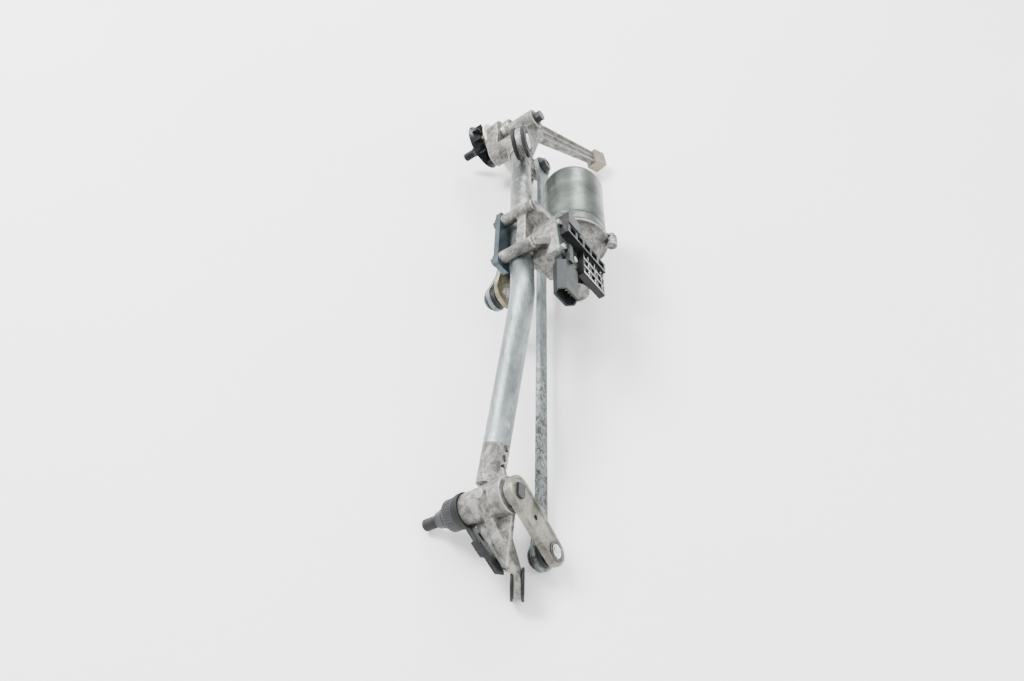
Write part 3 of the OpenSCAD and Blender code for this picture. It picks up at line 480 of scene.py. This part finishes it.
def bent_path(step=2.0):
    """Points along the tube's middle line, about step apart, with the corner rounded."""
    u, v = unit(TUBE_LOW - TUBE_MID), unit(TUBE_UP - TUBE_MID)
    turn = math.pi - math.acos(float(u @ v))
    leg = BEND_R * math.tan(turn / 2)
    centre = TUBE_MID + unit(u + v) * (BEND_R / math.cos(turn / 2))
    x = unit(TUBE_MID + u * leg - centre)
    y = np.cross(unit(np.cross(v, u)), x)
    arc_steps = 24
    arc = []
    for k in range(arc_steps + 1):
        a = turn * k / arc_steps
        arc.append(centre + BEND_R * (math.cos(a) * x + math.sin(a) * y))
    legs = []
    for a, b in ((TUBE_LOW, arc[0]), (arc[-1], TUBE_UP)):
        count = int(np.linalg.norm(b - a) / step)
        legs.append([a + (b - a) * k / count for k in range(count + 1)])
    return legs[0][:-1] + arc + legs[1][1:]


def make_tube():
    """The tube with its crimps pressed into the spigots at both ends."""
    path = np.array(bent_path())
    sides = 96
    normal = unit(np.cross(TUBE_LOW - TUBE_MID, TUBE_UP - TUBE_MID))
    along = np.concatenate([[0], np.cumsum(np.linalg.norm(np.diff(path, axis=0), axis=1))])
    total = along[-1]
    # Each crimp: distance along the tube, angle about it, half length, half width in
    # degrees, depth.
    crimps = [
        (13, 75, 5.0, 20, 2.9), (29, 72, 6.5, 22, 3.1), (12, 180, 5, 22, 1.5),
        (28, 180, 5, 22, 1.5), (20, 290, 6, 22, 1.6),
        (total - 12, 65, 5, 22, 1.5), (total - 26, 65, 5, 22, 1.5),
        (total - 13, 185, 5, 20, 1.4), (total - 27, 185, 5, 20, 1.4),
        (total - 20, 300, 5, 20, 1.4)]
    verts = []
    for radius, dent in ((TUBE_R, 1.0), (TUBE_R - TUBE_WALL, 0.0)):
        for i, p in enumerate(path):
            t = unit(path[min(i + 1, len(path) - 1)] - path[max(i - 1, 0)])
            m = np.cross(normal, t)
            for k in range(sides):
                a = 2 * math.pi * k / sides
                r = radius
                for at, angle, long, wide, deep in crimps:
                    off = (math.degrees(a) - angle + 180) % 360 - 180
                    q = ((along[i] - at) / long) ** 2 + (off / wide) ** 2
                    if q < 4:
                        r -= dent * deep * math.exp(-q * 1.6)
                verts.append(p + r * (math.cos(a) * normal + math.sin(a) * m))
    count = len(path)
    o = count * sides
    faces = []
    for i in range(count - 1):
        for k in range(sides):
            n = (k + 1) % sides
            a, b = i * sides + k, i * sides + n
            c, d = (i + 1) * sides + n, (i + 1) * sides + k
            faces.append((a, b, c, d))
            faces.append((o + a, o + d, o + c, o + b))
    last = (count - 1) * sides
    for k in range(sides):
        n = (k + 1) % sides
        faces.append((k, o + k, o + n, n))
        faces.append((last + k, last + n, o + last + n, o + last + k))
    obj = add("tube_skin", verts, faces, MATS["tube_zinc"], "main_tube", 50)
    bevel(obj, 0.3, 2, 60)
    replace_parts(obj, "main_tube")


make_tube()


# --------------------------------------------------------------- spindles
def turned(name, radius_at, heights, at, mat, like, sides, smooth):
    """A solid of revolution whose radius may also change with the angle."""
    verts = []
    for z in heights:
        for k in range(sides):
            a = 2 * math.pi * k / sides
            r = radius_at(z, a)
            verts.append((at[0] + r * math.cos(a), at[1] + r * math.sin(a), z))
    count = len(heights)
    faces = []
    for i in range(count - 1):
        for k in range(sides):
            n = (k + 1) % sides
            faces.append((i * sides + k, i * sides + n, (i + 1) * sides + n, (i + 1) * sides + k))
    faces.append(tuple(range(sides))[::-1])
    faces.append(tuple((count - 1) * sides + k for k in range(sides)))
    return add(name, verts, faces, mat, like, smooth)


SPINDLE_R = 6.0
THREAD_LEN = 13.0
CONE_LEN = 9.0
PITCH = 1.5
THREAD_DEPTH = 0.62
KNURLS = 36
LEVER_HALF_T = 2.5
FOOT_REACH = 4.5
CLIP_WIDTH = 1.2
CLIP_DEPTH = 0.5


def make_spindle(name, node, lever_z, at, clip_at):
    foot = lever_z - FOOT_REACH
    lever_top = lever_z + LEVER_HALF_T
    knurl_z = TIP_Z - THREAD_LEN - CONE_LEN
    thread_z = TIP_Z - THREAD_LEN

    def radius(z, a):
        if z < lever_top:
            flat = 4.0 / max(abs(math.cos(a)), 1e-6)
            return min(SPINDLE_R + 0.5 - (0.6 if z < foot + 0.5 else 0), flat)
        if clip_at < z < clip_at + CLIP_WIDTH:
            return SPINDLE_R - CLIP_DEPTH
        if z < knurl_z:
            return SPINDLE_R
        if z < thread_z - 0.6:
            t = (z - knurl_z) / CONE_LEN
            cone = SPINDLE_R + (TIP_R + 0.3 - SPINDLE_R) * t
            return cone - 0.28 * (0.5 + 0.5 * math.cos(KNURLS * a))
        if z < thread_z:
            return TIP_R - 0.7
        if z > TIP_Z - 0.9:
            return TIP_R - 0.85 * (z - (TIP_Z - 0.9)) / 0.9 - 0.1
        turn = (z / PITCH - a / (2 * math.pi)) % 1.0
        return TIP_R - THREAD_DEPTH * abs(2 * turn - 1)

    heights = sorted(set(
        [foot, foot + 0.5, foot + 0.55, lever_top - 0.01, lever_top, clip_at, clip_at + 0.01,
         clip_at + 1.19, clip_at + 1.21]
        + list(np.linspace(lever_top + 1, knurl_z - 0.01, 12))
        + list(np.linspace(knurl_z, thread_z - 0.61, 10)) + [thread_z - 0.6, thread_z - 0.01]
        + list(np.linspace(thread_z, TIP_Z, 105))))
    obj = turned(name, radius, heights, at, MATS["dark_steel"], node, 144, 28)
    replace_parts(obj, node)


make_spindle("upper_spindle_skin", "upper_spindle", 22.0, (0, PIVOT_GAP), 61.1)
make_spindle("lower_spindle_skin", "lower_spindle", 0.0, (0, 0), 64.1)


def make_ring_nut():
    z0, z1, outer, inner = 54.0, 64.0, 13.0, 11.0
    sides = 216
    rows = [(inner, z0), (outer - 0.9, z0), (outer - 0.35, z0 + 0.4),
            (outer - 0.35, z0 + 1.6), (outer, z0 + 1.9), (outer, z1 - 1.0),
            (outer - 0.8, z1 - 0.2), (outer - 1.2, z1), (inner + 0.5, z1),
            (inner, z1 - 0.5)]
    verts = []
    for r, z in rows:
        for k in range(sides):
            a = 2 * math.pi * k / sides
            knurl = 0.55 * max(0, math.cos(KNURLS * a)) if r > outer - 0.1 else 0
            verts.append(((r - knurl) * math.cos(a), (r - knurl) * math.sin(a), z))
    faces = []
    for i in range(len(rows)):
        j = (i + 1) % len(rows)
        for k in range(sides):
            n = (k + 1) % sides
            faces.append((i * sides + k, i * sides + n, j * sides + n, j * sides + k))
    obj = add("ring_nut_skin", verts, faces, MATS["dark_steel"], "lower_ring_nut", 30)
    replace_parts(obj, "lower_ring_nut")


make_ring_nut()


# ------------------------------------------------------------- motor can
MOTOR_X = -34.0
WHEEL_Z = -38.0
CAN_Y = 287.0
CAN_R = 31.0
CAN_LEN = 92.0
LOBE_ANGLES = (118, 298)
LOBE_R = 36.0
ALONG_T = (0, 1, 0)


def make_can():
    at = (MOTOR_X, CAN_Y, WHEEL_Z)
    wall = 1.8
    lip = CAN_R + 2.0
    outer = [(CAN_R - wall, 0), (lip, 0), (lip, 1.7), (CAN_R, 2.4), (CAN_R, 11.0),
             (CAN_R - 0.5, 11.8), (CAN_R - 0.5, 13.4), (CAN_R, 14.2),
             (CAN_R, CAN_LEN - 10.5)]
    crown = [(CAN_R - 0.3, CAN_LEN - 7.5), (CAN_R - 1.3, CAN_LEN - 5.0),
             (CAN_R - 3.4, CAN_LEN - 3.0), (CAN_R - 6.2, CAN_LEN - 2.2),
             (13.5, CAN_LEN - 2.2), (12.6, CAN_LEN - 1.6), (12.0, CAN_LEN - 0.2),
             (10.5, CAN_LEN), (4.0, CAN_LEN), (3.0, CAN_LEN - 0.8), (0.01, CAN_LEN - 0.8)]
    inner = [(0.01, CAN_LEN - 6.0), (CAN_R - wall, CAN_LEN - 6.0)]
    outline = rounded(outer, [0.2, 0.5, 0.5, 0.8, 0.6, 0.5, 0.5, 0.6, 0.2]) + crown + inner
    verts, faces = lathe_mesh(outline, at, ALONG_T, 128)
    obj = add("can_skin", verts, faces, MATS["can_zinc"], "motor_can", 50)
    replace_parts(obj, "motor_can")
    for i, angle in enumerate(LOBE_ANGLES):
        a = math.radians(angle)
        reach = np.array((math.cos(a), 0, -math.sin(a)))
        side = np.array((math.sin(a), 0, math.cos(a)))
        hub = np.array(at, float) + reach * LOBE_R
        ring = [hub + 5.5 * (math.cos(b) * reach + math.sin(b) * side)
                for b in np.linspace(-math.pi / 2, math.pi / 2, 24)]
        root = [np.array(at, float) + reach * 29.6 + s * side * 9.0 for s in (1, -1)]
        loop = ring + root
        up = np.array((0, 2.6, 0))
        count = len(loop)
        verts = loop + [p + up for p in loop]
        faces = [tuple(range(count))[::-1], tuple(range(count, 2 * count))]
        faces += [(k, (k + 1) % count, count + (k + 1) % count, count + k) for k in range(count)]
        ear = add("can_ear_%d" % i, verts, faces, MATS["can_zinc"], "motor_can", 40)
        bevel(ear, 0.5)


make_can()


# ---------------------------------------------------------- ball sockets
BALL_R = 6.5
BALL_RISE = 11.0
LEVER_R = 55.0
PARK = math.radians(31.7)
CRANK = np.array((-8.0, 258.0))
CRANK_R = 36.0
BALL = np.array((-LEVER_R * math.cos(PARK), -LEVER_R * math.sin(PARK)))
UP_BALL = BALL + (0, PIVOT_GAP)
ROD_DIR = unit(UP_BALL - CRANK)
CRANK_BALL = CRANK - CRANK_R * ROD_DIR
COUPLE_Z = BALL_RISE
DRIVE_Z = 3 * BALL_RISE


def make_socket(name, xy, z, open_dir, node, mat):
    """A moulded ball cup with stepped rings, open towards open_dir along the spindles."""
    gap = 0.4
    inner = BALL_R + gap
    cup = [(6.1, -5.5), (8.6, -5.5), (9.2, -5.0), (9.2, -3.9), (10.0, -3.4), (10.0, 2.7),
           (11.0, 2.7), (11.0, 4.1), (9.9, 4.1), (9.6, 4.5), (9.6, 5.3), (8.9, 5.7),
           (8.6, 6.4), (8.2, 7.2), (7.0, 8.1), (5.4, 8.5), (3.4, 8.5), (3.0, 7.9),
           (0.01, 7.9)]
    hollow = [(0.01, inner)]
    steps = 14
    for k in range(1, steps + 1):
        a = math.radians(90 - k * (90 + 27) / steps)
        hollow.append((inner * math.cos(a), inner * math.sin(a)))
    outline = rounded(cup, [0.4] * len(cup), 3) + hollow
    verts, faces = lathe_mesh(outline, (xy[0], xy[1], z), (0, 0, -open_dir), 96)
    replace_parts(add(name, verts, faces, mat, node, 38), node)


GREY = MATS["grey_plastic"]
BLACK = MATS["black_plastic"]
make_socket("crank_socket_skin", CRANK_BALL, DRIVE_Z, -1, "drive_rod_sockets", GREY)
make_socket("drive_socket_skin", UP_BALL, DRIVE_Z, -1, "drive_rod_sockets", GREY)
make_socket("low_socket_skin", BALL, COUPLE_Z, -1, "coupling_rod_sockets", BLACK)
make_socket("up_socket_skin", UP_BALL, COUPLE_Z, 1, "coupling_rod_sockets", BLACK)


# ------------------------------------------------------------- grommets
def make_grommet(name, at, turn, length, plate, outer, neck, bore, node):
    h, p = length / 2, plate / 2
    o, n, b = outer / 2, neck / 2, bore / 2
    outline = [(b, -h), (b + 1.6, -h), (b + 2.0, -h + 0.8), (b + 3.2, -h + 0.8),
               (b + 3.6, -h + 0.1), (o, -h + 0.1), (o, -p), (n, -p), (n, p), (o, p),
               (o, h - 0.1), (b + 3.6, h - 0.1), (b + 3.2, h - 0.8), (b + 2.0, h - 0.8),
               (b + 1.6, h), (b, h)]
    sizes = [0.3, 0.4, 0.3, 0.3, 0.4, 1.4, 0.9, 0.3, 0.3, 0.9, 1.4, 0.4, 0.3, 0.3, 0.4, 0.3]
    axis = (math.sin(turn), 0, math.cos(turn))
    obj = lathe(name, outline, at, axis, MATS["black_rubber"], node, sizes)
    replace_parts(obj, node)


UP_MOUNT_AT = (26, 408, -13.5)
UP_MOUNT_TURN = math.radians(18.8)
make_grommet("upper_grommet_skin", UP_MOUNT_AT, UP_MOUNT_TURN, 15, 7, 34, 22, 16,
             "upper_mount_grommet")
LOW_MOUNT_Y = -52.0
LOW_MOUNT_Z = 25.0
LOW_MOUNT_R = 12.5
# The lower grommet stands on its rim, so its x follows from its height above the bench.
LOW_MOUNT_X = ((LOW_MOUNT_R - REST_H - LOW_MOUNT_Y * math.sin(RAISE)
                + LOW_MOUNT_Z * math.sin(LEAN) * math.cos(RAISE))
               / (math.cos(LEAN) * math.cos(RAISE)))
make_grommet("lower_grommet_skin", (LOW_MOUNT_X, LOW_MOUNT_Y, LOW_MOUNT_Z), LEAN, 11, 6,
             2 * LOW_MOUNT_R, 16, 11, "lower_mount_grommet")


# ------------------------------------------------- collar, rims and rings
obj = lathe("seal_skin", [(12.6, 47.0), (14.4, 47.0), (14.4, 51.4), (13.6, 51.8),
                          (13.6, 53.9), (11.0, 53.9), (11.0, 51.0), (12.6, 51.0)],
            (0, 0, 0), (0, 0, 1), MATS["black_rubber"], "lower_seal", 0.35)
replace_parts(obj, "lower_seal")
obj = lathe("collar_skin", [(6.0, 65.6), (9.0, 65.6), (9.0, 68.4), (8.2, 68.7),
                            (7.9, 70.8), (7.3, 71.1), (7.2, 73.0), (6.8, 73.3),
                            (6.7, 75.6), (6.0, 75.6)],
            (0, 0, 0), (0, 0, 1), MATS["dark_steel"], "lower_collar", 0.3)
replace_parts(obj, "lower_collar")


def capsule(r1, r2, length, steps=24):
    """Outline around a round of r1 at the origin and one of r2 at length along +y."""
    tilt = math.asin((r1 - r2) / length)
    points = []
    for k in range(steps + 1):
        a = tilt + (math.pi - 2 * tilt) * k / steps
        points.append((r2 * math.cos(a), length + r2 * math.sin(a)))
    for k in range(steps + 1):
        a = math.pi - tilt + (math.pi + 2 * tilt) * k / steps
        points.append((r1 * math.cos(a), r1 * math.sin(a)))
    return np.array(points)


HUB_R = 12.5
EYE_R = 11.0


def make_rim(name, at, z, node):
    """A pressed lip around the free face of a lever."""
    turn = math.pi / 2 + PARK
    flat = np.array(((math.cos(turn), -math.sin(turn)), (math.sin(turn), math.cos(turn))))
    rows = ((0.2, 0.0), (0.5, 1.0), (1.5, 1.2), (2.2, 0.9), (2.6, 0.0), (1.4, -0.6))
    verts = []
    for inset, rise in rows:
        for p in capsule(HUB_R - inset, EYE_R - inset, LEVER_R) @ flat.T:
            verts.append((at[0] + p[0], at[1] + p[1], z - LEVER_HALF_T - rise))
    sides = len(verts) // len(rows)
    faces = []
    for i in range(len(rows)):
        j = (i + 1) % len(rows)
        for k in range(sides):
            n = (k + 1) % sides
            faces.append((i * sides + k, i * sides + n, j * sides + n, j * sides + k))
    add(name, verts, faces, MATS["lever_steel"], node, 40)


make_rim("lower_lever_rim", (0, 0), 0.0, "lower_lever")
make_rim("upper_lever_rim", (0, PIVOT_GAP), 2 * BALL_RISE, "upper_lever")
lathe("lower_rivet_head", [(0.01, 0.2), (5.2, 0.2), (5.2, 1.4), (4.2, 2.0), (3.4, 2.1),
                           (2.9, 1.4), (0.01, 1.3)],
      (BALL[0], BALL[1], -LEVER_HALF_T), (0, 0, -1), MATS["bright_steel"], "lower_lever_ball", 0.3)
lathe("lower_rivet_ring", [(6.4, -0.1), (7.9, -0.1), (7.9, 0.7), (6.4, 0.7)],
      (BALL[0], BALL[1], -LEVER_HALF_T), (0, 0, -1), MATS["dark_steel"], "lower_lever", 0.3)


# -------------------------------------------------------- motor's wiring
def block(name, low, size, mat, like, width=0.25):
    x, y, z = low
    a, b, c = size
    verts = [(x + a * i, y + b * j, z + c * k) for k in (0, 1) for j in (0, 1) for i in (0, 1)]
    faces = [(0, 2, 3, 1), (4, 5, 7, 6), (0, 1, 5, 4), (2, 6, 7, 3), (0, 4, 6, 2), (1, 3, 7, 5)]
    bevel(add(name, verts, faces, mat, like, 30), width, 2)


CARRIER = (-50, 214)
CARRIER_FACE = -52.0
CARRIER_RIM = 3
POCKET = (11, 9.2)
TRACK_STEP = 12.2


def make_tracks():
    """Bright contact tracks and terminals that stand in the carrier's pockets."""
    face = CARRIER_FACE
    left = CARRIER[0] + CARRIER_RIM
    low = CARRIER[1] + CARRIER_RIM
    steel = MATS["bright_steel"]
    for i in range(3):
        for j in range(3):
            x, y = left + POCKET[0] * i, low + POCKET[1] * j
            block("contact_blade_%d%d" % (i, j), (x + 2.2 + 0.5 * j, y + 0.6, face - 7.4),
                  (0.9, 5.2, 5.9), steel, "contact_frame")
            block("contact_foot_%d%d" % (i, j), (x + 0.8, y + 2.0 + 0.6 * i, face - 4.6),
                  (6.2, 1.6, 1.9), MATS["pin_brass"], "contact_frame")
    for i in range(5):
        block("contact_track_%d" % i,
              (left + TRACK_STEP * i + 1.2, CARRIER[1] + 33.4, face - 8.2),
              (6.4, 1.1, 5.0), steel, "contact_frame")
    for j in range(3):
        block("contact_strip_%d" % j,
              (CARRIER[0] + 0.6, CARRIER[1] + 0.9 + POCKET[1] * j, face - 7.3),
              (35, 1.3, 0.7), steel, "contact_frame")


make_tracks()


# ---------------------------------------------------------- floor and light
def make_stage():
    mesh = bpy.data.meshes.new("floor")
    half = 6.0
    mesh.from_pydata([(-half, -half, 0), (half, -half, 0), (half, half, 0), (-half, half, 0)], [],
                     [(0, 1, 2, 3)])
    floor = bpy.data.objects.new("floor", mesh)
    bpy.context.scene.collection.objects.link(floor)
    s = Shader("floor_finish", rough=0.6)
    s.ramp(s.noise(3, 3, 0.5), [(0.3, (0.90, 0.90, 0.895)), (0.7, (0.93, 0.93, 0.925))])
    floor.data.materials.append(s.done())

    def area(name, at, aim, size, power):
        light = bpy.data.lights.new(name, "AREA")
        light.energy = power
        light.size = size
        obj = bpy.data.objects.new(name, light)
        obj.location = at
        obj.rotation_euler = (Vector(aim) - Vector(at)).to_track_quat("-Z", "Y").to_euler()
        bpy.context.scene.collection.objects.link(obj)

    area("key", (-1.5, 0.9, 2.0), (0, 0, 0), 0.9, 150)
    area("fill", (1.4, -0.9, 1.6), (0, 0, 0), 1.0, 34)
    area("back", (0.4, 2.2, 1.5), (0, 0.2, 0), 0.8, 60)
    world = bpy.data.worlds.new("world")
    world.use_nodes = True
    tree = world.node_tree
    back = tree.nodes["Background"]
    back.inputs["Strength"].default_value = 1.35
    # A room of pale and dark patches gives the metal something to reflect.
    coord = tree.nodes.new("ShaderNodeTexCoord").outputs["Generated"]
    noise = tree.nodes.new("ShaderNodeTexNoise")
    noise.inputs["Scale"].default_value = 2.2
    noise.inputs["Detail"].default_value = 2.0
    ramp = tree.nodes.new("ShaderNodeValToRGB")
    ramp.color_ramp.elements[0].position = 0.42
    ramp.color_ramp.elements[0].color = (0.10, 0.105, 0.11, 1)
    ramp.color_ramp.elements[1].position = 0.56
    ramp.color_ramp.elements[1].color = (2.2, 2.22, 2.25, 1)
    tree.links.new(coord, noise.inputs["Vector"])
    tree.links.new(noise.outputs["Fac"], ramp.inputs["Fac"])
    tree.links.new(ramp.outputs["Color"], back.inputs["Color"])
    bpy.context.scene.world = world


make_stage()
